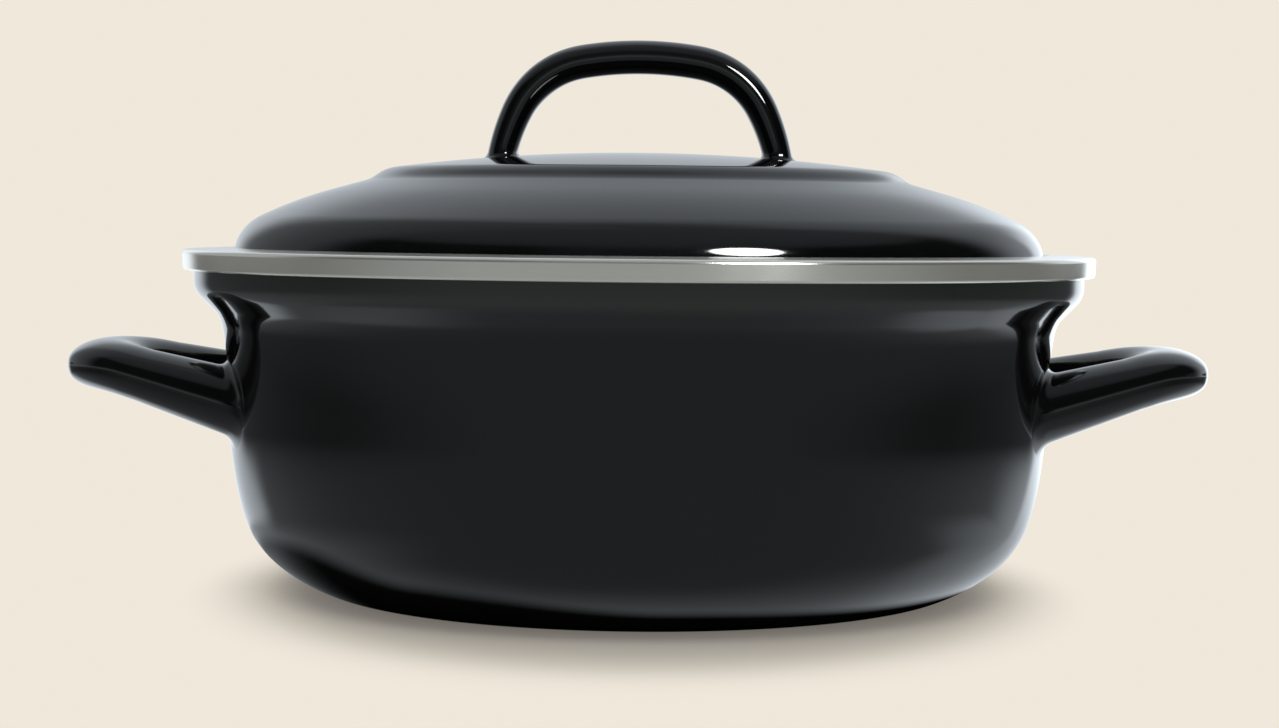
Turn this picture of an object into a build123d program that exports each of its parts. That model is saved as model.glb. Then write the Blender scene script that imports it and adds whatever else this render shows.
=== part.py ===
from build123d import *
import os
from math import cos, radians, sin, sqrt, tan

os.makedirs("parts", exist_ok=True)

# Lengths are in millimetres and angles in degrees.
# The origin is the centre of the standing face. Z is up and X runs through both side handles.

# Driving dimensions
lid_radius = 133.2
lid_clearance = 0.8
ring_width = 16.0
sheet = 1.6
handle_sheet = 1.5
overrun = 6.0

# Pot: lower corner, belly, upright wall, flared neck and turned-out edge
corner_radius = 28.0
corner_turn = 58.0
belly_radius = 78.0
upright_height = 19.8
neck_radius = 31.5
neck_turn = 43.0
neck_straight = 1.1
neck_lip_radius = 9.0
edge_height = 4.2
edge_bend_radius = 1.8
edge_reach = 0.4

# Steel ring: bottom tuck, outer face, sloped top, sunk ledge and drip lip
ring_sheet = 0.8
ring_bottom_corner = 1.0
ring_top_corner = 1.3
ring_inner_corner = 1.0
ring_face_height = 4.3
ring_top_slope = 3.0
ring_tuck_gap = 0.3
ring_crimp_gap = 0.1
ring_edge_gap = 0.57
seat_depth = 2.94
seat_fillet = 0.6
ledge_width = 6.4
drip_lip_height = 2.5

# Lid: upright edge, shoulder, long slope, crease and raised cap
lid_edge_height = 3.4
lid_edge_radius = 6.4
lid_edge_turn = 36.0
lid_shoulder_radius = 20.0
lid_shoulder_turn = 28.0
lid_slope_radius = 140.0
lid_slope_turn = 10.4
lid_slope_straight = 13.9
crease_radius = 10.0
crease_turn = 20.4
cap_rim_radius = 12.0
cap_rim_turn = 28.3

# Bow handle of the lid: a flattened tube, bent in one plane
bow_foot_x = 46.0
bow_lean = 12.0
bow_leg_radius = 70.0
bow_leg_turn = 14.0
bow_shoulder_radius = 28.6
bow_shoulder_turn = 54.0
bow_thickness = 11.2
bow_foot_thickness = 9.6
bow_width = 17.0
bow_weld_reach = 1.5
bow_weld_height = 4.0

# Loop handles of the pot: a flattened tube, bent to a U that rises outwards
loop_root_height = 63.8
loop_rise = 14.0
loop_bend_start = 29.0
loop_bend_radius = 70.0
loop_bend_turn = 22.0
loop_centre_reach = 15.5
loop_end_radius = 26.5
loop_leg_angle = 16.0
loop_end_droop = 9.0
loop_half_width_leg = 12.0
loop_half_width_end = 12.8
loop_half_height_root = 10.4
loop_half_height_leg = 8.7
loop_half_height_end = 8.2
loop_root_sink = 14.0
loop_weld_reach = 3.6
loop_weld_height = 6.0
leg_station_shares = (0, 1 / 2, 1)
arc_station_shares = (1 / 3, 2 / 3, 1)

# Weld beads: a gap to the enamel below, the thin edge on the handle, and the waist of the hollow flank
weld_gap = 0.05
weld_edge = 0.15
waist_height_share = 0.3
waist_reach_share = 0.4


def arc_on(previous, radius, turn):
    """An arc that carries on from the end of a line, to the left for a positive turn."""
    return JernArc(start=previous @ 1, tangent=previous % 1, radius=radius, arc_size=turn)


def line_on(previous, length):
    """A straight run that carries on from the end of a line."""
    return Line(previous @ 1, previous @ 1 + (previous % 1) * length)


def sine(angle):
    return sin(radians(angle))


def cosine(angle):
    return cos(radians(angle))


def finish(builder, name):
    """Names a finished piece and writes it."""
    builder.part.label = name
    export_step(builder.part, f"parts/{name}.step")


# Radii that fit together: the lid in its seat, the ring round it, and the edge and neck of the pot

seat_wall_radius = lid_radius + lid_clearance
ring_radius = seat_wall_radius + ring_width
neck_top_radius = ring_radius - ring_sheet - ring_edge_gap - edge_reach - edge_bend_radius
flare_reach = (neck_radius + neck_lip_radius) * (1 - cosine(neck_turn)) + neck_straight * sine(neck_turn)
wall_radius = neck_top_radius - flare_reach
base_radius = wall_radius - corner_radius * sine(corner_turn) - belly_radius * (1 - sine(corner_turn))

# Pot shell


def pot_outer_line(growth=0):
    """The outside of the pot in section, from the middle of the base to the neck's top, grown outwards."""
    base = Line((0, -growth), (base_radius, -growth))
    corner = arc_on(base, corner_radius + growth, corner_turn)
    belly = arc_on(corner, belly_radius + growth, 90 - corner_turn)
    upright = line_on(belly, upright_height)
    flare = arc_on(upright, neck_radius - growth, -neck_turn)
    slope = line_on(flare, neck_straight)
    return arc_on(slope, neck_lip_radius + growth, neck_turn)


with BuildPart() as pot_shell:
    with BuildSketch(Plane.XZ):
        with BuildLine():
            neck_top = pot_outer_line()
            edge = line_on(neck_top, edge_height)
            edge_bend = arc_on(edge, edge_bend_radius, -90)
            flange = line_on(edge_bend, edge_reach)
            offset(amount=sheet, side=Side.LEFT)
        make_face()
    revolve(axis=Axis.Z)
finish(pot_shell, "pot_shell")

flange_top_height = (flange @ 1).Y + sheet

# The space inside the pot's outer surface, which trims what is welded to the wall
with BuildPart() as pot_blank:
    with BuildSketch(Plane.XZ):
        with BuildLine():
            blank_neck = pot_outer_line(weld_gap)
            blank_top = Line(blank_neck @ 1, (0, (blank_neck @ 1).Y))
            Line(blank_top @ 1, (0, -weld_gap))
        make_face()
    revolve(axis=Axis.Z)

# Steel ring

ring_edge_height = flange_top_height + ring_crimp_gap + ring_sheet
ring_face_top = ring_edge_height - ring_top_corner * cosine(ring_top_slope)
ring_bottom_height = ring_face_top - ring_face_height - ring_bottom_corner
ring_top_end = ring_radius - ring_top_corner * (1 - sine(ring_top_slope))
ring_top_start = seat_wall_radius + ring_inner_corner * (1 + sine(ring_top_slope))
ring_top_run = (ring_top_end - ring_top_start) / cosine(ring_top_slope)
lid_seat_height = ring_edge_height + ring_top_run * sine(ring_top_slope) - seat_depth

with BuildPart() as pot_rim_ring:
    with BuildSketch(Plane.XZ):
        with BuildLine():
            tuck = Line(
                (neck_top_radius + ring_tuck_gap, ring_bottom_height),
                (ring_radius - ring_bottom_corner, ring_bottom_height),
            )
            bottom_corner = arc_on(tuck, ring_bottom_corner, 90)
            outer_face = line_on(bottom_corner, ring_face_height)
            top_corner = arc_on(outer_face, ring_top_corner, 90 - ring_top_slope)
            top_face = line_on(top_corner, ring_top_run)
            inner_corner = arc_on(top_face, ring_inner_corner, 90 + ring_top_slope)
            seat_wall = line_on(inner_corner, (inner_corner @ 1).Y - lid_seat_height - seat_fillet)
            seat_bend = arc_on(seat_wall, seat_fillet, -90)
            ledge = line_on(seat_bend, ledge_width)
            drip_bend = arc_on(ledge, ring_inner_corner, 90)
            drip_lip = line_on(drip_bend, drip_lip_height)
            offset(amount=ring_sheet, side=Side.LEFT)
        make_face()
    revolve(axis=Axis.Z)
finish(pot_rim_ring, "pot_rim_ring")

# Lid shell

cap_turn = 90 - lid_edge_turn - lid_shoulder_turn - lid_slope_turn + crease_turn - cap_rim_turn


def lid_outer_line(growth=0):
    """The outside of the lid in section, from its lower edge to the middle of the cap, grown outwards."""
    edge_x = lid_radius + growth
    upright = Line((edge_x, lid_seat_height), (edge_x, lid_seat_height + lid_edge_height))
    edge_arc = arc_on(upright, lid_edge_radius + growth, lid_edge_turn)
    shoulder = arc_on(edge_arc, lid_shoulder_radius + growth, lid_shoulder_turn)
    slope = arc_on(shoulder, lid_slope_radius + growth, lid_slope_turn)
    straight = line_on(slope, lid_slope_straight)
    crease = arc_on(straight, crease_radius - growth, -crease_turn)
    rim = arc_on(crease, cap_rim_radius + growth, cap_rim_turn)
    return arc_on(rim, (rim @ 1).X / sine(cap_turn), cap_turn)


with BuildPart() as lid_shell:
    with BuildSketch(Plane.XZ):
        with BuildLine():
            cap = lid_outer_line()
            offset(amount=sheet, side=Side.LEFT)
        make_face()
    revolve(axis=Axis.Z)
finish(lid_shell, "lid_shell")

cap_top_height = (cap @ 1).Y
cap_radius = (cap @ 0).X / sine(cap_turn)

# The space below the lid's outer surface, which trims what is welded to the cap
with BuildPart() as lid_blank:
    with BuildSketch(Plane.XZ):
        with BuildLine():
            blank_cap = lid_outer_line(weld_gap)
            blank_axis = Line(blank_cap @ 1, (0, lid_seat_height))
            Line(blank_axis @ 1, (lid_radius + weld_gap, lid_seat_height))
        make_face()
    revolve(axis=Axis.Z)


def weld_collar(foot, half_x, half_y, reach, height):
    """A solid collar with hollow flanks, standing on a foot plane. The handle is cut out of it later."""
    with BuildPart() as collar:
        for rise, growth in (
            (-height, reach),
            (0, reach),
            (height * waist_height_share, reach * waist_reach_share),
            (height, weld_edge),
        ):
            with BuildSketch(foot.offset(rise)):
                Ellipse(half_x + growth, half_y + growth)
        loft()
    return collar.part


# Bow handle of the lid

bow_foot_height = cap_top_height - cap_radius + sqrt(cap_radius**2 - bow_foot_x**2)
bow_leg_end = bow_lean + bow_leg_turn
bow_shoulder_end = bow_leg_end + bow_shoulder_turn
bow_leg_reach = bow_leg_radius * (cosine(bow_lean) - cosine(bow_leg_end))
bow_shoulder_reach = bow_shoulder_radius * (cosine(bow_leg_end) - cosine(bow_shoulder_end))
bow_crown_turn = 90 - bow_shoulder_end
bow_crown_radius = (bow_foot_x - bow_leg_reach - bow_shoulder_reach) / sine(bow_crown_turn)

with BuildLine(Plane.XZ):
    left_foot = Line(
        (-bow_foot_x - overrun * sine(bow_lean), bow_foot_height - overrun * cosine(bow_lean)),
        (-bow_foot_x, bow_foot_height),
    )
    left_leg = arc_on(left_foot, bow_leg_radius, -bow_leg_turn)
    left_shoulder = arc_on(left_leg, bow_shoulder_radius, -bow_shoulder_turn)
    left_crown = arc_on(left_shoulder, bow_crown_radius, -bow_crown_turn)

# Stations from the left foot to the middle of the crown: line, share of the line, share of full thickness
bow_station_shares = (
    (left_foot, 0, 0),
    (left_leg, 0, 0),
    (left_leg, 1, 0.6),
    (left_shoulder, 1 / 2, 0.85),
    (left_shoulder, 1, 1),
    (left_crown, 1 / 2, 1),
    (left_crown, 1, 1),
)


def plane_across(line, share):
    """The plane square to a line in the XZ plane, at a share of its length."""
    return Plane(origin=line @ share, x_dir=(0, 1, 0), z_dir=line % share)


def bow_thickness_at(full_share):
    """Thickness of the bow where it has this share of the growth from its foot to its crown."""
    return bow_foot_thickness + (bow_thickness - bow_foot_thickness) * full_share


def bow_half_shell(side):
    """One pressed half of the bow handle, on the outside or the inside of its bend."""
    with BuildPart() as half:
        for line, line_share, full_share in bow_station_shares:
            thickness = bow_thickness_at(full_share)
            with BuildSketch(plane_across(line, line_share)):
                Ellipse(bow_width / 2, thickness / 2)
                Ellipse(bow_width / 2 - handle_sheet, thickness / 2 - handle_sheet, mode=Mode.SUBTRACT)
                Rectangle(bow_width, bow_thickness, align=(Align.CENTER, side), mode=Mode.INTERSECT)
        loft()
        mirror(about=Plane.YZ)
        add(lid_blank.part, mode=Mode.SUBTRACT)
    return half


bow_outer_half = bow_half_shell(Align.MIN)
bow_inner_half = bow_half_shell(Align.MAX)
finish(bow_outer_half, "lid_handle_outer_shell")
finish(bow_inner_half, "lid_handle_inner_shell")

# The hollow of the left leg, out to the middle of its wall
with BuildPart() as left_leg_core:
    for line, line_share, full_share in bow_station_shares[:3]:
        with BuildSketch(plane_across(line, line_share)):
            Ellipse((bow_width - handle_sheet) / 2, (bow_thickness_at(full_share) - handle_sheet) / 2)
    loft()

with BuildPart() as left_foot_weld:
    add(
        weld_collar(
            plane_across(left_foot, 1),
            bow_width / 2,
            bow_foot_thickness / 2,
            bow_weld_reach,
            bow_weld_height,
        )
    )
    for inside in (lid_blank, left_leg_core, bow_outer_half, bow_inner_half):
        add(inside.part, mode=Mode.SUBTRACT)
finish(left_foot_weld, "lid_handle_left_weld")

with BuildPart() as right_foot_weld:
    mirror(left_foot_weld.part, about=Plane.YZ)
finish(right_foot_weld, "lid_handle_right_weld")

# Loop handles of the pot

loop_centre = wall_radius + loop_centre_reach
loop_bend_x = wall_radius + loop_bend_start
leg_end_x = loop_centre + loop_end_radius * sine(loop_leg_angle)
leg_end_y = loop_end_radius * cosine(loop_leg_angle)
leg_start_x = wall_radius - loop_root_sink


def seam_height(x):
    """Height of the surface on which the two halves of a loop handle meet."""
    if x <= loop_bend_x:
        return loop_root_height + (x - wall_radius) * tan(radians(loop_rise))
    start = loop_root_height + loop_bend_start * tan(radians(loop_rise))
    fall = sine(loop_rise) - (x - loop_bend_x) / loop_bend_radius
    return start + loop_bend_radius * (sqrt(1 - fall**2) - cosine(loop_rise))


def seam_slope(x):
    """Slope of that surface."""
    if x <= loop_bend_x:
        return tan(radians(loop_rise))
    fall = sine(loop_rise) - (x - loop_bend_x) / loop_bend_radius
    return fall / sqrt(1 - fall**2)


def loop_station(x, y, heading, droop):
    """The plane across a loop handle at a point of its middle line, seen in plan."""
    run_x, run_y = cosine(heading), sine(heading)
    slope = seam_slope(x)
    side_slope = slope - tan(radians(droop))
    return Plane(
        origin=(x, y, seam_height(x)),
        x_dir=(-run_y, run_x, -run_y * side_slope),
        z_dir=(run_x, run_y, run_x * slope),
    )


def leg_station(share):
    """A station on the back leg of the loop, at a share of the way out."""
    x = leg_start_x + (leg_end_x - leg_start_x) * share
    y = leg_end_y + (leg_end_x - x) * tan(radians(loop_leg_angle))
    wall_share = (x - wall_radius) / (leg_end_x - wall_radius)
    height = loop_half_height_root + (loop_half_height_leg - loop_half_height_root) * wall_share
    return loop_station(x, y, -loop_leg_angle, 0), loop_half_width_leg, height


def arc_station(share):
    """A station on the rounded end of the loop, at a share of its turn from the back leg to the middle."""
    angle = loop_leg_angle + (90 - loop_leg_angle) * share
    fullness = sine(90 * share)
    width = loop_half_width_leg + (loop_half_width_end - loop_half_width_leg) * fullness
    height = loop_half_height_leg + (loop_half_height_end - loop_half_height_leg) * fullness
    x = loop_centre + loop_end_radius * sine(angle)
    y = loop_end_radius * cosine(angle)
    return loop_station(x, y, -angle, loop_end_droop * fullness), width, height


def loop_solid(inset):
    """The solid within a loop handle's surface, or within its inner surface."""
    stations = [leg_station(share) for share in leg_station_shares]
    stations += [arc_station(share) for share in arc_station_shares]
    with BuildPart() as solid:
        for plane, half_width, half_height in stations:
            with BuildSketch(plane):
                Ellipse(half_width - inset, half_height - inset)
        loft()
        mirror(about=Plane.XZ)
    return solid.part


loop_blank = loop_solid(0)
loop_core = loop_solid(handle_sheet)

# The space above the surface on which the two halves meet
with BuildPart() as above_seam:
    with BuildSketch(Plane.XZ):
        with BuildLine():
            seam_start_x = leg_start_x - loop_root_sink
            seam_run = Line(
                (seam_start_x, seam_height(seam_start_x)),
                (loop_bend_x, seam_height(loop_bend_x)),
            )
            seam_bend = arc_on(seam_run, loop_bend_radius, -loop_bend_turn)
            seam_end = line_on(seam_bend, overrun)
            top_height = loop_root_height + loop_root_sink + 2 * loop_end_radius
            Polyline(
                seam_end @ 1,
                ((seam_end @ 1).X, top_height),
                (seam_start_x, top_height),
                seam_run @ 0,
            )
        make_face()
    extrude(amount=2 * loop_end_radius, both=True)


def loop_half_shell(half_mode):
    """One pressed half of the right loop handle, above the seam or below it."""
    with BuildPart() as half:
        add(loop_blank)
        add(loop_core, mode=Mode.SUBTRACT)
        add(above_seam.part, mode=half_mode)
        add(pot_blank.part, mode=Mode.SUBTRACT)
    return half


def mirrored(builder):
    """The same piece on the other side of the pot."""
    with BuildPart() as copy:
        mirror(builder.part, about=Plane.YZ)
    return copy


for half_name, half_mode in (("upper", Mode.INTERSECT), ("lower", Mode.SUBTRACT)):
    right_half = loop_half_shell(half_mode)
    finish(right_half, f"right_handle_{half_name}_shell")
    finish(mirrored(right_half), f"left_handle_{half_name}_shell")

# Weld beads of the loop handles, each standing square to the wall

leg_run_slope = tan(radians(loop_leg_angle))
for end_name, side in (("front", -1), ("back", 1)):
    # Where the middle line of the leg meets the wall, seen in plan
    line_y = leg_end_y + leg_end_x * leg_run_slope
    square = 1 + leg_run_slope**2
    root_x = (line_y * leg_run_slope + sqrt(square * wall_radius**2 - line_y**2)) / square
    root_y = side * (line_y - root_x * leg_run_slope)
    foot_plane = Plane(
        origin=(root_x, root_y, seam_height(root_x)),
        x_dir=(-root_y, root_x, 0),
        z_dir=(root_x, root_y, 0),
    )
    with BuildPart() as right_weld:
        add(
            weld_collar(
                foot_plane,
                loop_half_width_leg / cosine(2 * loop_leg_angle),
                loop_half_height_root,
                loop_weld_reach,
                loop_weld_height,
            )
        )
        add(pot_blank.part, mode=Mode.SUBTRACT)
        add(loop_blank, mode=Mode.SUBTRACT)
    finish(right_weld, f"right_handle_{end_name}_weld")
    finish(mirrored(right_weld), f"left_handle_{end_name}_weld")

print("wall radius", round(wall_radius, 3), "base radius", round(base_radius, 2))
print("neck top", neck_top @ 1, "flange top", round(flange_top_height, 2))
print("ring bottom", round(ring_bottom_height, 2), "ring inner top", top_face @ 1)
print("lid seat", round(lid_seat_height, 3), "cap top", round(cap_top_height, 2))
print("bow crown", left_crown @ 1, "crown radius", round(bow_crown_radius, 2))
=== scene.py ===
import math

import bpy
import numpy as np
from mathutils import Matrix, Vector


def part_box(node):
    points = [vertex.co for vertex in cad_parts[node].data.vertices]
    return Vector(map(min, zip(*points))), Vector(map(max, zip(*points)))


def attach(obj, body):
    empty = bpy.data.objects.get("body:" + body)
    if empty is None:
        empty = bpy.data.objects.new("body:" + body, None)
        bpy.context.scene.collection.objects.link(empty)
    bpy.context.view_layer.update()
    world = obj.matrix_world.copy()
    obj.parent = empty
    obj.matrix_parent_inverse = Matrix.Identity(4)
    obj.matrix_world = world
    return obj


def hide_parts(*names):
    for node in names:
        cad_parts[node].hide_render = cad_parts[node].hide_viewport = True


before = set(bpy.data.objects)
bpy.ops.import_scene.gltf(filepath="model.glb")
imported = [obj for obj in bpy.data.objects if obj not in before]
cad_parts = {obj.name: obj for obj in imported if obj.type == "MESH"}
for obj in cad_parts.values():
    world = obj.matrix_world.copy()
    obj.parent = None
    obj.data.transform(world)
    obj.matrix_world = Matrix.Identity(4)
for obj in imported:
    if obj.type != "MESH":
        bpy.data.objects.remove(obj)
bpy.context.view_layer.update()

MM = 0.001

# Sizes read from the frame, in metres. The inset of the wall from the ring's edge is in millimetres.
ring_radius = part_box("pot_rim_ring")[1].x
lid_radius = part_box("lid_shell")[1].x
lid_seat_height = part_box("lid_shell")[0].z
wall_inset = 15.2
wall_radius = ring_radius - wall_inset * MM

# Colours, linear
black = (0.0, 0.0, 0.0)
cream = (0.871, 0.807, 0.708)
room_tint = (0.88, 0.95, 1.0)
backdrop_tint = (0.86, 0.93, 1.0)
enamel_dark = (0.0020, 0.0022, 0.0023)
enamel_light = (0.0042, 0.0045, 0.0046)
enamel_painted_neck_sheen = (0.018, 0.021, 0.022)
painted_seam_highlight = (0.030, 0.032, 0.033)
steel_colour = (0.86, 0.86, 0.80)


# Node helpers. An input is a socket or a number, and a window is the start and the end of a fade.

def set_input(node, name, value):
    node.inputs[name].default_value = value


def calculate(tree, operation, first, second=0.0, third=0.0):
    """The result of a Math node."""
    node = tree.nodes.new("ShaderNodeMath")
    node.operation = operation
    for socket, value in zip(node.inputs, (first, second, third)):
        if isinstance(value, (int, float)):
            socket.default_value = value
        else:
            tree.links.new(value, socket)
    return node.outputs[0]


def fade(tree, value, start, end, low=0.0, high=1.0):
    """A smooth step from low to high as the value goes from start to end."""
    node = tree.nodes.new("ShaderNodeMapRange")
    node.interpolation_type = "SMOOTHSTEP"
    tree.links.new(value, node.inputs["Value"])
    for name, number in (("From Min", start), ("From Max", end), ("To Min", low), ("To Max", high)):
        if isinstance(number, (int, float)):
            set_input(node, name, number)
        else:
            tree.links.new(number, node.inputs[name])
    return node.outputs["Result"]


def blend(tree, share, low, high):
    """From low to high as the share goes from 0 to 1."""
    return fade(tree, share, 0.0, 1.0, low, high)


def mix_colours(tree, factor, first, second, mode="MIX"):
    """A colour mix, which a Mix node does with its inputs 0, 6 and 7 and its output 2."""
    node = tree.nodes.new("ShaderNodeMix")
    node.data_type = "RGBA"
    node.blend_type = mode
    for socket, value in ((node.inputs[0], factor), (node.inputs[6], first), (node.inputs[7], second)):
        if isinstance(value, (int, float)):
            socket.default_value = value
        elif isinstance(value, tuple):
            socket.default_value = (*value, 1.0)
        else:
            tree.links.new(value, socket)
    return node.outputs[2]


def mix_shaders(tree, factor, first, second):
    node = tree.nodes.new("ShaderNodeMixShader")
    tree.links.new(factor, node.inputs[0])
    tree.links.new(first.outputs[0], node.inputs[1])
    tree.links.new(second.outputs[0], node.inputs[2])
    return node


def noise(tree, vector, scale, detail):
    node = tree.nodes.new("ShaderNodeTexNoise")
    tree.links.new(vector, node.inputs["Vector"])
    set_input(node, "Scale", scale)
    set_input(node, "Detail", detail)
    return node.outputs["Fac"]


def coordinates(tree, output):
    """The three parts of a texture coordinate."""
    place = tree.nodes.new("ShaderNodeTexCoord")
    split = tree.nodes.new("ShaderNodeSeparateXYZ")
    tree.links.new(place.outputs[output], split.inputs[0])
    return split.outputs


def length_of(tree, x, y):
    squares = calculate(tree, "ADD", calculate(tree, "MULTIPLY", x, x), calculate(tree, "MULTIPLY", y, y))
    return calculate(tree, "SQRT", squares)


def direction_share(tree, x, y):
    """1 straight towards the backdrop, 0 to the sides, -1 towards the camera."""
    return calculate(tree, "DIVIDE", y, length_of(tree, x, y))


def new_material(name):
    material = bpy.data.materials.new(name)
    material.use_nodes = True
    material.node_tree.nodes.clear()
    return material, material.node_tree


# Room in the gloss: dim behind the camera, bright behind the pan, brightest at the back on the right

front_level = 0.12
front_dim_middle = 0.85
front_dim_side = 0.15
left_side_level = 0.36
backdrop_middle_level = 0.74
backdrop_left_level = 1.15
backdrop_right_level = 0.84
backdrop_high_level = 0.66
zenith_level = 0.30
right_glow_level = 1.1
lamp_fill_level = 0.5

middle_window = (-0.05, 0.05)
backdrop_left_window = (0.74, 0.98)
backdrop_right_window = (0.27, 0.80)
backdrop_side_window = (0.10, 0.45)
backdrop_high_window = (0.25, 0.50)
backdrop_zenith_window = (0.88, 1.0)
glow_along_window = (0.80, 0.87)
glow_side_window = (0.10, 0.30)
glow_height_window = (0.10, 0.45)
front_zenith_window = (0.50, 0.90)
front_dim_side_window = (0.30, 0.60)
front_dim_low_window = (0.05, 0.18)
front_dim_high_window = (0.55, 0.75)
left_side_window = (-0.10, 0.35)


def either_side(tree, x, left, right):
    """The left or the right value, with a short fade between them."""
    return fade(tree, x, *middle_window, left, right)


def right_glow(tree, x, along):
    """1 towards the tall white panel at the back on the right."""
    behind = fade(tree, along, *glow_along_window)
    return calculate(tree, "MULTIPLY", behind, fade(tree, x, *glow_side_window))


def make_world():
    """The room by direction. The camera sees plain cream, and diffuse surfaces get an even fill."""
    world = bpy.data.worlds.new("studio")
    bpy.context.scene.world = world
    world.use_nodes = True
    tree = world.node_tree
    tree.nodes.clear()
    x, y, z = coordinates(tree, "Generated")
    aside = calculate(tree, "ABSOLUTE", x)
    along = direction_share(tree, x, y)

    # Backdrop and its glow
    left = fade(tree, along, *backdrop_left_window)
    right = fade(tree, along, *backdrop_right_window)
    share = either_side(tree, x, left, right)
    side_level = either_side(tree, x, backdrop_left_level, backdrop_right_level)
    low = fade(tree, aside, *backdrop_side_window, backdrop_middle_level, side_level)
    glow_height = fade(tree, z, *glow_height_window, right_glow_level, 0.0)
    low = calculate(tree, "MULTIPLY_ADD", right_glow(tree, x, along), glow_height, low)
    backdrop = fade(tree, z, *backdrop_high_window, low, backdrop_high_level)
    backdrop = fade(tree, z, *backdrop_zenith_window, backdrop, zenith_level)

    # Dim side behind the camera, darker at mid height and most of all to its sides
    front = fade(tree, z, *front_zenith_window, front_level, zenith_level)
    sideways = calculate(tree, "DIVIDE", aside, length_of(tree, x, y))
    dim_level = fade(tree, sideways, *front_dim_side_window, front_dim_middle, front_dim_side)
    dim_low = fade(tree, z, *front_dim_low_window)
    dim_high = fade(tree, z, *front_dim_high_window, 1.0, 0.0)
    dim = calculate(tree, "MULTIPLY", dim_low, dim_high)
    front = calculate(tree, "MULTIPLY", front, blend(tree, dim, 1.0, dim_level))
    left_front = fade(tree, along, *left_side_window, front, left_side_level)
    front = either_side(tree, x, left_front, front)

    level = blend(tree, share, front, backdrop)
    tint = mix_colours(tree, share, room_tint, backdrop_tint)
    room = mix_colours(tree, 1.0, tint, level, "MULTIPLY")
    rays = tree.nodes.new("ShaderNodeLightPath")
    plain = mix_colours(tree, rays.outputs["Is Diffuse Ray"], room, (lamp_fill_level,) * 3)
    shown = mix_colours(tree, rays.outputs["Is Camera Ray"], plain, cream)
    background = tree.nodes.new("ShaderNodeBackground")
    tree.links.new(shown, background.inputs["Color"])
    output = tree.nodes.new("ShaderNodeOutputWorld")
    tree.links.new(background.outputs[0], output.inputs["Surface"])


# Floor, in metres

floor_half = 6.0

# Its shadow, by the distance from the pan's middle with the sideways part stretched. It is partly lit,
# lightened by a share of plain glow, and partly a painted shadow in the floor's colour
shadow_width_share = 0.70
shadow_fill = 0.24
shadow_fill_window = (0.152, 0.214)
painted_shadow_depth = 0.72
painted_shadow_window = (0.130, 0.192)

# In the gloss, a painted reflection: where the floor glows as bright as the backdrop, by the direction from a
# point beside the pan
side_anchor = (0.118, -0.062)
least_outward = 0.004
floor_left_window = (0.56, 0.82)
left_radius_window = (0.150, 0.205)
right_start_window = (0.100, 0.160)
right_starts = (0.24, 0.78)
right_end_window = (0.130, 0.170)
right_ends = (0.92, 1.0)
right_radius_window = (0.170, 0.220)
far_window = (0.17, 0.60)
far_along_window = (0.74, 0.92)

# In the gloss: how bright the rest of the painted reflection is, with painted light lifted on the left and a
# painted glow close round the pan
floor_level = 0.31
left_floor_level = 0.31
right_floor_level = 0.42
far_side_level = 0.09
beside_window = (-0.95, -0.10)
left_lift = 0.25
left_lift_side_window = (-0.86, -0.50)
left_lift_radius_window = (0.150, 0.185)
painted_rim_glow_level = 0.56
painted_rim_glow_end = 0.133
painted_rim_glow_growth = 0.020
painted_rim_glow_side_window = (0.15, 0.80)

# In the gloss: painted shade, black under the pan, which reaches further out on the left
contact_radius = 0.1110
contact_softness = 0.006
contact_softening = 0.8
right_contact_growth = -0.003
right_contact_window = (0.10, 0.90)
left_contact_growth = 0.007
left_contact_window = (-0.70, 0.10)
far_left_contact_growth = 0.025
far_left_contact_window = (-1.15, -0.60)
left_contact_level = 0.19
left_contact_depth_window = (-0.070, -0.007)


def floor_backdrop_share(tree, x, radius, sideways, along):
    """How much of each place on the floor is as bright as the backdrop."""
    left = fade(tree, along, *floor_left_window)
    left = calculate(tree, "MULTIPLY", left, fade(tree, radius, *left_radius_window))
    start = fade(tree, radius, *right_start_window, *right_starts)
    end = fade(tree, radius, *right_end_window, *right_ends)
    close_right = fade(tree, sideways, start, end)
    within = fade(tree, radius, *right_radius_window, 1.0, 0.0)
    close_right = calculate(tree, "MULTIPLY", close_right, within)
    right = calculate(tree, "MAXIMUM", close_right, fade(tree, along, *backdrop_right_window))
    near = either_side(tree, x, left, right)
    return fade(tree, radius, *far_window, near, fade(tree, along, *far_along_window))


def floor_dim_level(tree, x, y, radius, sideways):
    """How bright the painted reflection of the floor is where it doesn't show the backdrop, with painted
    light on the left and a painted glow round the pan.
    """
    forward = direction_share(tree, x, y)
    beside = either_side(tree, x, left_floor_level, right_floor_level)
    close = fade(tree, forward, *beside_window, floor_level, beside)
    far = fade(tree, forward, *beside_window, floor_level, far_side_level)
    level = fade(tree, radius, *far_window, close, far)
    # Painted light: the reflection lifted close to the pan on the left
    lift = fade(tree, sideways, *left_lift_side_window, left_lift, 0.0)
    lift = calculate(tree, "MULTIPLY", lift, fade(tree, radius, *left_lift_radius_window, 1.0, 0.0))
    level = calculate(tree, "ADD", level, lift)
    # Painted glow: a lighter ring close round the pan
    aside = calculate(tree, "ABSOLUTE", sideways)
    end = fade(tree, aside, *painted_rim_glow_side_window, painted_rim_glow_end, painted_rim_glow_end + painted_rim_glow_growth)
    painted_rim_glow = calculate(tree, "MAXIMUM", level, painted_rim_glow_level)
    return fade(tree, radius, contact_radius + contact_softness, end, painted_rim_glow, level)


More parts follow.
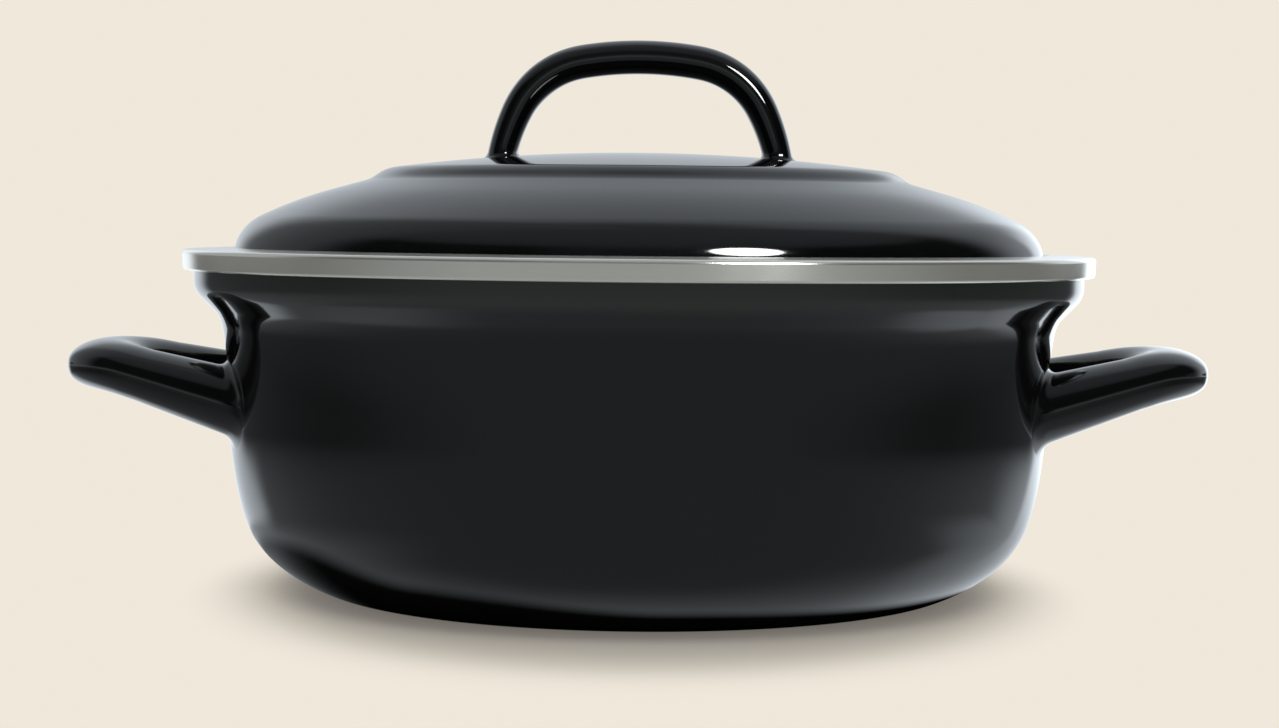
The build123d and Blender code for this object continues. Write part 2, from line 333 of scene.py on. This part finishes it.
def painted_shade_under_pan(tree, x, y, radius, sideways, level):
    """The level with painted shade, black under the pan."""
    # Painted shade: black under the pan, greyer towards the back on the left
    left_reach = fade(tree, sideways, *left_contact_window, left_contact_growth, 0.0)
    far_left_reach = fade(tree, sideways, *far_left_contact_window, far_left_contact_growth, 0.0)
    reach = calculate(tree, "ADD", left_reach, far_left_reach)
    right_radius = contact_radius + right_contact_growth
    start = fade(tree, sideways, *right_contact_window, contact_radius, right_radius)
    start = calculate(tree, "ADD", start, reach)
    softness = calculate(tree, "MULTIPLY_ADD", reach, contact_softening, contact_softness)
    clear = calculate(tree, "DIVIDE", calculate(tree, "SUBTRACT", radius, start), softness)
    left_level = fade(tree, y, *left_contact_depth_window, 0.0, left_contact_level)
    return blend(tree, clear, either_side(tree, x, left_level, 0.0), level)


def painted_floor_reflection(tree, x, y):
    """The floor as the gloss of the pan mirrors it: a painted reflection that glows for glossy rays only."""
    radius = length_of(tree, x, y)
    sideways = calculate(tree, "DIVIDE", x, radius)
    outward = calculate(tree, "SUBTRACT", calculate(tree, "ABSOLUTE", x), side_anchor[0])
    outward = calculate(tree, "MAXIMUM", outward, least_outward)
    along = direction_share(tree, outward, calculate(tree, "SUBTRACT", y, side_anchor[1]))
    share = floor_backdrop_share(tree, x, radius, sideways, along)
    side_level = either_side(tree, x, backdrop_left_level, backdrop_right_level)
    backdrop = calculate(tree, "MULTIPLY_ADD", right_glow(tree, x, along), right_glow_level, side_level)
    level = blend(tree, share, floor_dim_level(tree, x, y, radius, sideways), backdrop)
    level = painted_shade_under_pan(tree, x, y, radius, sideways, level)
    tint = mix_colours(tree, share, room_tint, backdrop_tint)
    # Painted reflection: the floor glows with this level for glossy rays
    painted_reflection = tree.nodes.new("ShaderNodeEmission")
    tree.links.new(mix_colours(tree, 1.0, tint, level, "MULTIPLY"), painted_reflection.inputs["Color"])
    return painted_reflection


def seen_floor(tree, x, y):
    """The floor as the camera sees it: lit, with its shadow partly lit and partly painted, then the plain
    cream of the backdrop.
    """
    lit = tree.nodes.new("ShaderNodeBsdfDiffuse")
    plain = tree.nodes.new("ShaderNodeEmission")
    place = length_of(tree, calculate(tree, "DIVIDE", x, shadow_width_share), y)
    depth = fade(tree, place, *painted_shadow_window, painted_shadow_depth, 1.0)
    # Painted shadow: the floor's colour darkens towards the pan, and a share of plain glow lightens the
    # shadow there
    painted_shadow_colour = mix_colours(tree, depth, black, cream)
    tree.links.new(painted_shadow_colour, lit.inputs["Color"])
    tree.links.new(painted_shadow_colour, plain.inputs["Color"])
    return mix_shaders(tree, fade(tree, place, *shadow_fill_window, shadow_fill, 1.0), lit, plain)


def make_floor():
    """A pale floor that keeps the pan's shadow and runs into the backdrop without an edge. Glossy rays see a
    painted reflection there instead.
    """
    mesh = bpy.data.meshes.new("floor")
    corners = [(sx * floor_half, sy * floor_half, 0) for sx, sy in ((-1, -1), (1, -1), (1, 1), (-1, 1))]
    mesh.from_pydata(corners, [], [(0, 1, 2, 3)])
    floor = bpy.data.objects.new("floor", mesh)
    bpy.context.scene.collection.objects.link(floor)
    material, tree = new_material("pale_floor")
    mesh.materials.append(material)
    x, y, _ = coordinates(tree, "Object")
    rays = tree.nodes.new("ShaderNodeLightPath")
    seen, painted_reflection = seen_floor(tree, x, y), painted_floor_reflection(tree, x, y)
    surface = mix_shaders(tree, rays.outputs["Is Glossy Ray"], seen, painted_reflection)
    output = tree.nodes.new("ShaderNodeOutputMaterial")
    tree.links.new(surface.outputs[0], output.inputs["Surface"])


# Lamps: a wide soft sun overhead, and a round softbox to the right of the camera that shows in the gloss
# only. Angles in degrees, lengths in metres.

overhead_strength = 1.57
overhead_angle = 85
key_azimuth, key_elevation = 33, 31
key_distance = 1.6
key_width, key_height = 0.56, 0.62
key_radiance = 26.0


def direction_from(azimuth, elevation):
    """Unit vector from the pan towards a lamp. Azimuth is to the right of the camera, seen from the pan."""
    a, e = math.radians(azimuth), math.radians(elevation)
    return Vector((math.sin(a) * math.cos(e), -math.cos(a) * math.cos(e), math.sin(e)))


def add_lamp(name, kind, energy, **settings):
    lamp = bpy.data.lights.new(name, kind)
    lamp.energy = energy
    for key, value in settings.items():
        setattr(lamp, key, value)
    holder = bpy.data.objects.new(name, lamp)
    bpy.context.scene.collection.objects.link(holder)
    holder.visible_camera = False
    return holder


def make_lamps():
    overhead = add_lamp("overhead", "SUN", overhead_strength, angle=math.radians(overhead_angle))
    overhead.visible_glossy = False
    power = key_radiance * math.pi * key_width * key_height
    key = add_lamp("key", "AREA", power, shape="ELLIPSE", size=key_width, size_y=key_height)
    key.visible_diffuse = False
    lid_front = Vector((0.0, -lid_radius, lid_seat_height))
    key.location = lid_front + direction_from(key_azimuth, key_elevation) * key_distance
    key.rotation_euler = (lid_front - key.location).to_track_quat("-Z", "Y").to_euler()


# Camera: where the photograph was taken from, in millimetres and degrees, and its lens in pixels of the
# photograph. What is nearer than nearest_shown, in metres, isn't drawn.

camera_place = (0.506, -860.0, 122.0)
camera_pitch = 3.199
camera_roll = 0.573
focal_pixels = 2578.84
photo_width_pixels = 1279
sensor_width = 36.0
nearest_shown = 0.01


def make_camera():
    data = bpy.data.cameras.new("camera")
    data.sensor_width = sensor_width
    data.lens = sensor_width * focal_pixels / photo_width_pixels
    data.clip_start = nearest_shown
    camera = bpy.data.objects.new("camera", data)
    bpy.context.scene.collection.objects.link(camera)
    tilt = Matrix.Rotation(math.radians(90 - camera_pitch), 4, "X")
    roll = Matrix.Rotation(math.radians(camera_roll), 4, "Z")
    camera.matrix_world = Matrix.Translation(Vector(camera_place) * MM) @ tilt @ roll
    bpy.context.scene.camera = camera


# Materials. Depths and heights in metres.

cloud_window = (0.3, 0.7)
relief_strength = 0.05

enamel_ior = 1.5
enamel_roughness = (0.035, 0.065)
enamel_cloud_scale, enamel_cloud_detail = 28.0, 4.0
peel_scale, peel_detail = 260.0, 2.0
peel_depth = 0.00010
painted_sheen_lower_window = (0.0945, 0.0985)
painted_sheen_upper_window = (0.1065, 0.1080)

steel_metallic = 0.84
steel_anisotropy = 0.8
steel_anisotropy_turn = 0.25
steel_roughness = (0.16, 0.19)
steel_cloud_scale, steel_cloud_detail = 45.0, 3.0
streak_scale, streak_detail = 1.0, 3.0
streaks_along = 16.0
streaks_across = 3200.0
streak_depth = 0.00002
streak_shade = 0.93


def finish_material(tree, shader, colour, roughness, relief, depth):
    """Give a surface its colour, its roughness and its fine relief."""
    bump = tree.nodes.new("ShaderNodeBump")
    set_input(bump, "Strength", relief_strength)
    set_input(bump, "Distance", depth)
    tree.links.new(relief, bump.inputs["Height"])
    tree.links.new(colour, shader.inputs["Base Color"])
    tree.links.new(roughness, shader.inputs["Roughness"])
    tree.links.new(bump.outputs[0], shader.inputs["Normal"])
    output = tree.nodes.new("ShaderNodeOutputMaterial")
    tree.links.new(shader.outputs[0], output.inputs["Surface"])


def enamel_material():
    """Glossy black enamel: faint orange peel and uneven gloss, with painted sheen in a band under the rim and
    painted highlights on the seams.
    """
    material, tree = new_material("black_enamel")
    place = tree.nodes.new("ShaderNodeTexCoord").outputs["Object"]
    height = coordinates(tree, "Object")[2]
    peel = noise(tree, place, peel_scale, peel_detail)
    cloud = noise(tree, place, enamel_cloud_scale, enamel_cloud_detail)
    colour = mix_colours(tree, cloud, enamel_dark, enamel_light)
    # Painted sheen: a lighter band on the neck under the rim, for light the enamel mirrors there
    lower = fade(tree, height, *painted_sheen_lower_window)
    upper = fade(tree, height, *painted_sheen_upper_window, 1.0, 0.0)
    colour = mix_colours(tree, calculate(tree, "MULTIPLY", lower, upper), colour, enamel_painted_neck_sheen)
    # Painted highlight: a lighter line along the handles' seams
    seam = tree.nodes.new("ShaderNodeAttribute")
    seam.attribute_name = "seam"
    colour = mix_colours(tree, seam.outputs["Fac"], colour, painted_seam_highlight)
    shader = tree.nodes.new("ShaderNodeBsdfPrincipled")
    set_input(shader, "IOR", enamel_ior)
    roughness = fade(tree, cloud, *cloud_window, *enamel_roughness)
    finish_material(tree, shader, colour, roughness, peel, peel_depth)
    return material


def steel_material():
    """Bare stainless steel, faintly brushed along the ring's run."""
    material, tree = new_material("bare_steel")
    place = tree.nodes.new("ShaderNodeTexCoord").outputs["Object"]
    x, y, z = coordinates(tree, "Object")
    angle = calculate(tree, "ARCTAN2", x, calculate(tree, "MULTIPLY", y, -1.0))
    run = tree.nodes.new("ShaderNodeCombineXYZ")
    tree.links.new(calculate(tree, "MULTIPLY", angle, streaks_along), run.inputs[0])
    tree.links.new(calculate(tree, "MULTIPLY", length_of(tree, x, y), streaks_across), run.inputs[1])
    tree.links.new(calculate(tree, "MULTIPLY", z, streaks_across), run.inputs[2])
    streaks = noise(tree, run.outputs[0], streak_scale, streak_detail)
    cloud = noise(tree, place, steel_cloud_scale, steel_cloud_detail)
    colour = mix_colours(tree, streaks, tuple(streak_shade * c for c in steel_colour), steel_colour)
    shader = tree.nodes.new("ShaderNodeBsdfPrincipled")
    set_input(shader, "Metallic", steel_metallic)
    set_input(shader, "Anisotropic", steel_anisotropy)
    set_input(shader, "Anisotropic Rotation", steel_anisotropy_turn)
    tangent = tree.nodes.new("ShaderNodeTangent")
    tangent.direction_type = "RADIAL"
    tangent.axis = "Z"
    tree.links.new(tangent.outputs[0], shader.inputs["Tangent"])
    roughness = fade(tree, cloud, *cloud_window, *steel_roughness)
    finish_material(tree, shader, colour, roughness, streaks, streak_depth)
    return material


# Section outlines: runs of (length, turn in degrees), in millimetres, seen in the XZ plane

wall = wall_radius / MM
lid_edge = lid_radius / MM
seat = lid_seat_height / MM
ring_edge = ring_radius / MM
ring_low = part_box("pot_rim_ring")[0].z / MM
fine_step = 0.02
turn_step = 1.5
length_step = 9.0
station_step = 0.4


def arc(radius, turn):
    """A run of this radius, which turns left if the turn is positive."""
    return radius * math.radians(abs(turn)), turn


def line(length):
    return length, 0.0


def end_of(start, heading, runs):
    """Where the runs end."""
    x, z = start
    angle = math.radians(heading)
    for length, turn in runs:
        after = angle + math.radians(turn)
        if turn:
            radius = length / math.radians(turn)
            x += radius * (math.sin(after) - math.sin(angle))
            z += radius * (math.cos(angle) - math.cos(after))
        else:
            x += length * math.cos(angle)
            z += length * math.sin(angle)
        angle = after
    return np.array([x, z])


def trace(start, heading, runs, ease):
    """Points along the runs and their headings, with each change of bend eased over a length."""
    lengths = np.array([run[0] for run in runs])
    bends = np.radians([run[1] for run in runs]) / lengths
    total = lengths.sum()
    count = int(round(total / fine_step))
    middles = (np.arange(count) + 0.5) * total / count
    step = total / count
    bend = bends[np.minimum(np.searchsorted(np.cumsum(lengths), middles), len(runs) - 1)]
    window = np.hanning(max(3, int(ease / step)))
    padded = np.pad(bend, len(window), mode="edge")
    bend = np.convolve(padded, window / window.sum(), mode="same")[len(window):-len(window)]
    angle = math.radians(heading) + np.concatenate(([0.0], np.cumsum(bend * step)))
    middle_angle = (angle[1:] + angle[:-1]) / 2
    moves = np.stack((np.cos(middle_angle), np.sin(middle_angle)), axis=1) * step
    points = np.array(start) + np.concatenate((np.zeros((1, 2)), np.cumsum(moves, axis=0)))

    # The easing moves the end a little, which is made up for along the way
    places = np.linspace(0, total, count + 1)
    share = np.clip((places - lengths[0]) / (total - lengths[0]), 0, 1)[:, None]
    points += (end_of(start, heading, runs) - points[-1]) * share

    # Keep a point for every small turn and every length
    needed = np.abs(bend) * step / math.radians(turn_step) + step / length_step
    weight = np.concatenate(([0.0], np.cumsum(needed)))
    picks = np.searchsorted(weight, np.linspace(0, weight[-1], int(weight[-1]) + 2))
    picks = np.unique(np.clip(picks, 0, count))
    return points[picks], angle[picks]


def even_path(start, heading, runs, ease):
    """Points at even steps along the runs, with their headings."""
    points, angle = trace(start, heading, runs, ease)
    run = np.concatenate(([0.0], np.cumsum(np.linalg.norm(np.diff(points, axis=0), axis=1))))
    places = np.linspace(0, run[-1], int(run[-1] / station_step) + 1)
    path = np.stack([np.interp(places, run, points[:, i]) for i in (0, 1)], axis=1)
    return path, np.interp(places, run, angle)


def offset(points, angle, distance):
    """The points moved to the left of their headings."""
    return points + distance * np.stack((-np.sin(angle), np.cos(angle)), axis=1)


# Pot: the flat base, the round corner, the wall with its flared neck, and the turned-out edge under the ring
pot_sheet = 1.6
pot_ease = 4.0
pot_start = (0.0, 0.0)
flange_height = 106.92
flange_bend = 1.8
flange_reach = 0.4
corner_runs = [arc(17.0, 21.0), arc(49.5, 20.5), arc(32.0, 32.5), arc(118.0, 16.0)]
wall_runs = [line(0.7), arc(160.0, -10.0), arc(10.0, -35.0), line(6.15), arc(7.0, 45.0)]
base_radius = wall - end_of(pot_start, 0.0, corner_runs)[0]
pot_runs = [line(base_radius), *corner_runs, *wall_runs]
neck_top = end_of(pot_start, 0.0, pot_runs)
pot_runs += [line(flange_height - neck_top[1]), arc(flange_bend, -90), line(flange_reach)]
pot_outer, pot_angle = trace(pot_start, 0.0, pot_runs, pot_ease)

# Lid: the upright edge, the shoulder, the slope, the crease and the raised cap
lid_sheet = 1.6
lid_ease = 2.4
lid_start = (lid_edge, seat + lid_sheet / 2)
lid_runs = [
    arc(12.0, 30.0), arc(16.4, 34.0), arc(140.0, 10.4), line(10.4),
    arc(10.0, -20.4), line(1.25), arc(12.0, 28.3),
]
cap_turn = 90.0 - sum(turn for _, turn in lid_runs)
cap_reach = end_of(lid_start, 90.0, lid_runs)[0] / math.sin(math.radians(cap_turn))
lid_outer, lid_angle = trace(lid_start, 90.0, lid_runs + [arc(cap_reach, cap_turn)], lid_ease)
rolled_edge_angles = (202.5, 225, 247.5, 270, 292.5, 315, 337.5)

# Ring: a start tucked under the pot's edge, the upright face, the sloped top, the sunk ledge and its drip lip
ring_sheet = 0.8
ring_ease = 0.3
ring_top_slope = 3.0
ring_lean = 2.5
ring_bend = 1.0
ring_edge_bend = 1.3
ring_face = 4.3
ring_margin = 0.27
tuck_start = 146.73
seat_gap = 0.8
seat_drop = 1.34
ledge_bend = 0.6
ledge = 6.4
lip_drop = 2.5
seat_wall = lid_edge + seat_gap
ring_tilt = math.radians(ring_top_slope)
ring_top_reach = ring_edge - ring_edge_bend * (1 - math.sin(ring_tilt)) - seat_wall
ring_top_reach -= ring_bend * (1 + math.sin(ring_tilt))
ring_runs = [
    line(ring_edge - ring_bend - tuck_start - ring_margin),
    arc(ring_bend, 90.0 - ring_lean), line(ring_face),
    arc(ring_edge_bend, 90 - ring_top_slope + ring_lean), line(ring_top_reach / math.cos(ring_tilt)),
    arc(ring_bend, 90 + ring_top_slope), line(seat_drop),
    arc(ledge_bend, -90.0), line(ledge),
    arc(ring_bend, 90.0), line(lip_drop),
]
ring_outer, ring_angle = trace((tuck_start, ring_low), 0.0, ring_runs, ring_ease)


# Meshes. Sections in millimetres.

segments = 256
pole_radius = 0.02
sharp_angle = 50


def add_piece(name, vertices, faces, material, body, slot, replaced, highlight_amounts=()):
    """A smooth mesh that rides on a body and stands for its CAD nodes. Highlight amounts give its painted
    seam highlight.
    """
    mesh = bpy.data.meshes.new(name)
    mesh.from_pydata(vertices.tolist(), [], faces)
    mesh.polygons.foreach_set("use_smooth", [True] * len(mesh.polygons))
    mesh.set_sharp_from_angle(angle=math.radians(sharp_angle))
    mesh.materials.append(material)
    if len(highlight_amounts):
        mesh.attributes.new("seam", "FLOAT", "POINT").data.foreach_set("value", highlight_amounts)
    piece = bpy.data.objects.new(name, mesh)
    bpy.context.scene.collection.objects.link(piece)
    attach(piece, body)
    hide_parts(*replaced)


def lathe(loop):
    """Vertices and faces of a closed section turned round the Z axis."""
    turns = np.arange(segments) * 2 * math.pi / segments
    vertices, rings = [], []
    for x, z in loop:
        first = len(vertices)
        if x < pole_radius:
            vertices.append((0.0, 0.0, z))
            rings.append([first] * segments)
        else:
            vertices.extend((x * math.cos(t), x * math.sin(t), z) for t in turns)
            rings.append(list(range(first, first + segments)))
    faces = []
    for ring, following in zip(rings, rings[1:] + rings[:1]):
        if ring[0] == ring[1] and following[0] == following[1]:
            continue
        for k in range(segments):
            n = (k + 1) % segments
            corners = (ring[k], ring[n], following[n], following[k])
            faces.append(tuple(dict.fromkeys(corners)))
    return np.array(vertices) * MM, faces


def sheet_section(outer, angle, thickness, edge=()):
    """Closed section of a sheet: its outside, its inside back to the start, then the points of its edge."""
    inner = offset(outer, angle, thickness)
    inner[:, 0] = np.maximum(inner[:, 0], 0.0)
    return np.concatenate((outer, inner[::-1], np.array(edge).reshape(-1, 2)))


def lid_rolled_edge():
    """The rounded lower edge of the lid, from its inside to its outside."""
    radius = lid_sheet / 2
    centre = (lid_edge - radius, seat + radius)
    angles = np.radians(rolled_edge_angles)
    return [(centre[0] + radius * math.cos(a), centre[1] + radius * math.sin(a)) for a in angles]


# Handles: tubes with a pressed seam and an enamelled fillet at each root, in millimetres

around = 112
seam_crowding = 0.8
seam_ridge = 0.07
seam_width = 0.35
seam_turn = 0.22
fillet_rings = 12
tube_rings = 80
sink = 0.06
seam_start_rings = 4


def section_angles():
    """Angles round a tube, closer together at the seam on either side."""
    t = np.arange(around) / around
    return 2 * math.pi * t - seam_crowding / 2 * np.sin(4 * math.pi * t)


def section_rise(half_height, flank):
    """How far each point of the section lies above or below the seam."""
    sines = np.sin(section_angles())
    return (half_height - flank) * sines + flank * np.tanh(sines / seam_turn)


def nearness(rise):
    """1 on the seam, falling to 0 beside it."""
    return np.exp(-((rise / seam_width) ** 2))


def tube_points(centres, tangents, sides, half_width, half_height, flank):
    """Points of a pressed tube: two rounded halves, upright flanks beside the seam, and its ridge."""
    tangents = tangents / np.linalg.norm(tangents, axis=1, keepdims=True)
    sides = sides - (sides * tangents).sum(1, keepdims=True) * tangents
    sides = sides / np.linalg.norm(sides, axis=1, keepdims=True)
    ups = np.cross(tangents, sides)
    cosines = np.cos(section_angles())
    up = section_rise(half_height[:, None], flank)
    across = (half_width[:, None] - seam_ridge) * cosines + seam_ridge * nearness(up) * np.sign(cosines)
    return centres[:, None] + across[..., None] * sides[:, None] + up[..., None] * ups[:, None]


def filleted_half(fine, depth, settle, tube_reach, surface_reach):
    """Rings of half a handle, from its fillet on the surface that carries it to its middle.

    Depth is how far points lie outside that surface, and settle moves them just inside it. The two reaches
    say how far the fillet goes along the tube and along the surface.
    """
    deep = depth(fine)
    last = len(deep) - 1 - np.argmax(deep[::-1] < 0, axis=0)
    columns = np.arange(around)
    below, above = deep[last, columns], deep[last + 1, columns]
    hit = last + below / (below - above)

    def at(place):
        low = np.clip(place.astype(int), 0, len(fine) - 2)
        share = (place - low)[:, None]
        return fine[low, columns] * (1 - share) + fine[low + 1, columns] * share

    root = at(hit)
    spread = root - root.mean(axis=0)
    spread /= np.linalg.norm(spread, axis=1, keepdims=True)
    foot = settle(root + spread * surface_reach)
    top = hit + tube_reach / station_step
    rings = []
    for u in np.linspace(0, 1, fillet_rings, endpoint=False):
        rings.append((1 - u) ** 2 * foot + 2 * u * (1 - u) * root + u**2 * at(top))
    for v in np.linspace(0, 1, tube_rings):
        rings.append(at(top + (len(fine) - 1 - top) * v))
    return np.array(rings)


def seam_highlight_amounts(rings, half_height, flank):
    """How much painted highlight each vertex of a whole handle gets along the seam: none on the fillets and
    the closed ends.
    """
    highlight_amounts = np.tile(nearness(section_rise(half_height, flank)), (2 * rings - 1, 1))
    shown = np.clip((np.arange(2 * rings - 1) - fillet_rings) / seam_start_rings, 0, 1)
    return np.append(highlight_amounts * np.minimum(shown, shown[::-1])[:, None], (0.0, 0.0))


def handle_mesh(half, mirror):
    """Vertices and faces of a whole handle from one half, with closed ends."""
    other = half[::-1][1:] * np.array(mirror)
    grid = np.concatenate((half, other))
    count = len(grid)
    vertices = np.concatenate((grid.reshape(-1, 3), [grid[0].mean(axis=0)], [grid[-1].mean(axis=0)]))
    faces = []
    for k in range(around):
        n = (k + 1) % around
        for i in range(count - 1):
            a, b = i * around, (i + 1) * around
            faces.append((a + k, a + n, b + n, b + k))
        end = (count - 1) * around
        faces.append((count * around, n, k))
        faces.append((count * around + 1, end + k, end + n))
    return vertices * MM, faces


# Loop handle of the pot: its legs rise from the wall, then bend level. The fillet has two reaches, along the
# tube and along the surface.

loop_root_height = 63.8
loop_rise = math.radians(14.0)
loop_bend_x = wall + 29.0
loop_bend_radius = 70.0
loop_centre = wall + 15.5
loop_end_radius = 26.5
loop_leg_angle = 20.0
loop_end_droop = math.radians(9.0)
loop_root_sink = 20.0
loop_ease = 10.0
loop_half_width, loop_width_gain = 12.0, 0.8
loop_half_height, loop_leg_loss, loop_end_loss = 10.4, 1.7, 0.5
loop_seam_half_height = 9.5
loop_flank = 1.0
loop_fillet = (4.5, 4.8)
wall_foot = 0.5


def seam_fall(x):
    """Sine of the seam's slope: that of the rise up to the bend, then less and less."""
    return math.sin(loop_rise) - np.maximum(x - loop_bend_x, 0) / loop_bend_radius


def seam_height(x):
    straight = loop_root_height + (np.minimum(x, loop_bend_x) - wall) * math.tan(loop_rise)
    return straight + loop_bend_radius * (np.sqrt(1 - seam_fall(x)**2) - math.cos(loop_rise))


def seam_slope(x):
    return seam_fall(x) / np.sqrt(1 - seam_fall(x)**2)


def loop_half():
    """Half of the right loop handle, from its back root to its middle."""
    leg = math.radians(loop_leg_angle)
    end_x = loop_centre + loop_end_radius * math.sin(leg)
    start_x = wall - loop_root_sink
    start_y = loop_end_radius * math.cos(leg) + (end_x - start_x) * math.tan(leg)
    runs = [line((end_x - start_x) / math.cos(leg)), arc(loop_end_radius, loop_leg_angle - 90)]
    plan, heading = even_path((start_x, start_y), -loop_leg_angle, runs, loop_ease)
    x, y = plan.T
    run_x, run_y = np.cos(heading), np.sin(heading)
    turned = np.clip((-np.degrees(heading) - loop_leg_angle) / (90 - loop_leg_angle), 0, 1)
    fullness = np.sin(turned * math.pi / 2)
    slope = seam_slope(x)
    side_slope = slope - np.tan(loop_end_droop * fullness)
    centres = np.stack((x, y, seam_height(x)), axis=1)
    tangents = np.stack((run_x, run_y, run_x * slope), axis=1)
    sides = np.stack((-run_y, run_x, -run_y * side_slope), axis=1)
    leg_share = np.clip((x - wall) / (end_x - wall), None, 1)
    half_width = loop_half_width + loop_width_gain * fullness
    half_height = loop_half_height - loop_leg_loss * leg_share - loop_end_loss * fullness
    fine = tube_points(centres, tangents, sides, half_width, half_height, loop_flank)
    wall_z = pot_outer[:, 1]
    upright = slice(np.argmax(wall_z > wall_foot), np.argmax(wall_z))

    def wall_at(z):
        return np.interp(z, wall_z[upright], pot_outer[upright, 0])

    def depth(points):
        return np.hypot(points[..., 0], points[..., 1]) - wall_at(points[..., 2])

    def settle(points):
        radius = np.hypot(points[:, 0], points[:, 1])
        scale = (wall_at(points[:, 2]) - sink) / radius
        return points * np.stack((scale, scale, np.ones_like(scale)), axis=1)

    return filleted_half(fine, depth, settle, *loop_fillet)


# Bow handle of the lid: from its foot a side that leans in, a shoulder and a flat crown. Turns in degrees.

bow_foot_x = 46.0
bow_sink = 6.0
bow_lean = 12.0
bow_side_radius, bow_side_turn = 70.0, 14.0
bow_shoulder_radius, bow_shoulder_turn = 28.6, 54.0
bow_crown_turn = 10.0
bow_ease = 9.0
bow_half_width = 8.5
bow_half_height, bow_height_gain = 4.8, 0.8
bow_turns, bow_fullness = (0, 14, 41, 68), (0, 0.6, 0.85, 1)
bow_seam_half_height = 5.3
bow_flank = 0.7
bow_fillet = (2.4, 2.0)


def bow_half():
    """Half of the bow handle, from its left foot to the middle of its crown."""
    radii, heights = lid_outer[::-1, 0], lid_outer[::-1, 1]
    foot_height = np.interp(bow_foot_x, radii, heights)
    lean = math.radians(bow_lean)
    shoulder_lean = math.radians(bow_lean + bow_side_turn)
    crown_lean = math.radians(bow_lean + bow_side_turn + bow_shoulder_turn)
    crown_reach = bow_foot_x - bow_side_radius * (math.cos(lean) - math.cos(shoulder_lean))
    crown_reach -= bow_shoulder_radius * (math.cos(shoulder_lean) - math.cos(crown_lean))
    crown_radius = crown_reach / math.sin(math.radians(bow_crown_turn))
    start = (-bow_foot_x - bow_sink * math.sin(lean), foot_height - bow_sink * math.cos(lean))
    runs = [
        line(bow_sink), arc(bow_side_radius, -bow_side_turn), arc(bow_shoulder_radius, -bow_shoulder_turn),
        arc(crown_radius, -bow_crown_turn),
    ]
    path, heading = even_path(start, 90.0 - bow_lean, runs, bow_ease)
    flat = np.zeros(len(path))
    centres = np.stack((path[:, 0], flat, path[:, 1]), axis=1)
    tangents = np.stack((np.cos(heading), flat, np.sin(heading)), axis=1)
    sides = np.tile((0.0, 1.0, 0.0), (len(path), 1))
    full = np.interp(90.0 - bow_lean - np.degrees(heading), bow_turns, bow_fullness)
    half_height = bow_half_height + bow_height_gain * full
    fine = tube_points(centres, tangents, sides, flat + bow_half_width, half_height, bow_flank)

    def lid_at(points):
        return np.interp(np.hypot(points[..., 0], points[..., 1]), radii, heights)

    def depth(points):
        return points[..., 2] - lid_at(points)

    def settle(points):
        return np.stack((points[:, 0], points[:, 1], lid_at(points) - sink), axis=1)

    return filleted_half(fine, depth, settle, *bow_fillet)


# The scene

bpy.context.scene.view_settings.view_transform = "Standard"
make_world()
make_floor()
make_lamps()
make_camera()

enamel = enamel_material()
steel = steel_material()
pot_section = sheet_section(pot_outer, pot_angle, pot_sheet)
lid_section = sheet_section(lid_outer, lid_angle, lid_sheet, lid_rolled_edge())
ring_section = sheet_section(ring_outer, ring_angle, ring_sheet)
add_piece("pot_body", *lathe(pot_section), enamel, "pot", "black_enamel", ["pot_shell"])
add_piece("lid_body", *lathe(lid_section), enamel, "lid", "black_enamel", ["lid_shell"])
add_piece("rim_ring", *lathe(ring_section), steel, "pot", "bare_steel", ["pot_rim_ring"])

loop = loop_half()
highlight_amounts = seam_highlight_amounts(len(loop), loop_seam_half_height, loop_flank)
for side, sign in (("left", -1), ("right", 1)):
    vertices, faces = handle_mesh(loop, (1, -1, 1))
    vertices = vertices * np.array((sign, 1, 1))
    if sign < 0:
        faces = [face[::-1] for face in faces]
    covered = [f"{side}_handle_{part}" for part in ("upper_shell", "lower_shell", "front_weld", "back_weld")]
    add_piece(f"{side}_handle", vertices, faces, enamel, "pot", "black_enamel", covered, highlight_amounts)

bow = bow_half()
highlight_amounts = seam_highlight_amounts(len(bow), bow_seam_half_height, bow_flank)
covered = [f"lid_handle_{part}" for part in ("outer_shell", "inner_shell", "left_weld", "right_weld")]
add_piece("lid_handle", *handle_mesh(bow, (-1, 1, 1)), enamel, "lid", "black_enamel", covered, highlight_amounts)

for name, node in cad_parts.items():
    node.data.materials.clear()
    node.data.materials.append(steel if name == "pot_rim_ring" else enamel)
